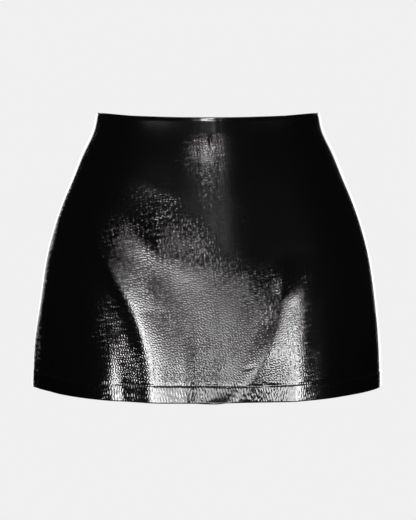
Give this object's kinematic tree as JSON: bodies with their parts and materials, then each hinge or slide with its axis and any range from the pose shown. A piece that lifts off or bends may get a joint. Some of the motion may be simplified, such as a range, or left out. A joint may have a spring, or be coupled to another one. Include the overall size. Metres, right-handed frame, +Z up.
{
  "type": "leather mini skirt",
  "caption": "Black patent leather mini skirt, bell shaped and filled out, open at waist and hem, with a concealed back zip whose pull tab swings.",
  "frame": {"origin": "middle of the waist opening, halfway down the turned waist edge that grips the wearer", "axes": "+Z up, -Y out of the front, +X towards the wearer's left"},
  "size_m": [0.4359, 0.3013, 0.3416],
  "materials": {
    "patent_leather": "black patent leather with a high gloss over a fine crinkled grain",
    "zip_tape": "black woven polyester tape, matt",
    "zip_coil": "black polyester coil, satin",
    "zip_metal": "black enamelled zinc, semi gloss"
  },
  "bodies": {
    "skirt": {"front_left": "patent_leather", "front_right": "patent_leather", "back_left": "patent_leather", "back_right": "patent_leather", "zip_tape_left": "zip_tape", "zip_tape_right": "zip_tape", "zip_coil": "zip_coil", "zip_slider": "zip_metal"},
    "pull": {"zip_pull": "zip_metal"}
  },
  "joints": [
    {"name": "pull_swing", "type": "hinge", "parent": "skirt", "child": "pull", "pos_m": [0, 0.10803, -0.01255], "axis": [1, 0, 0], "range_deg": [0, 180]}
  ]
}
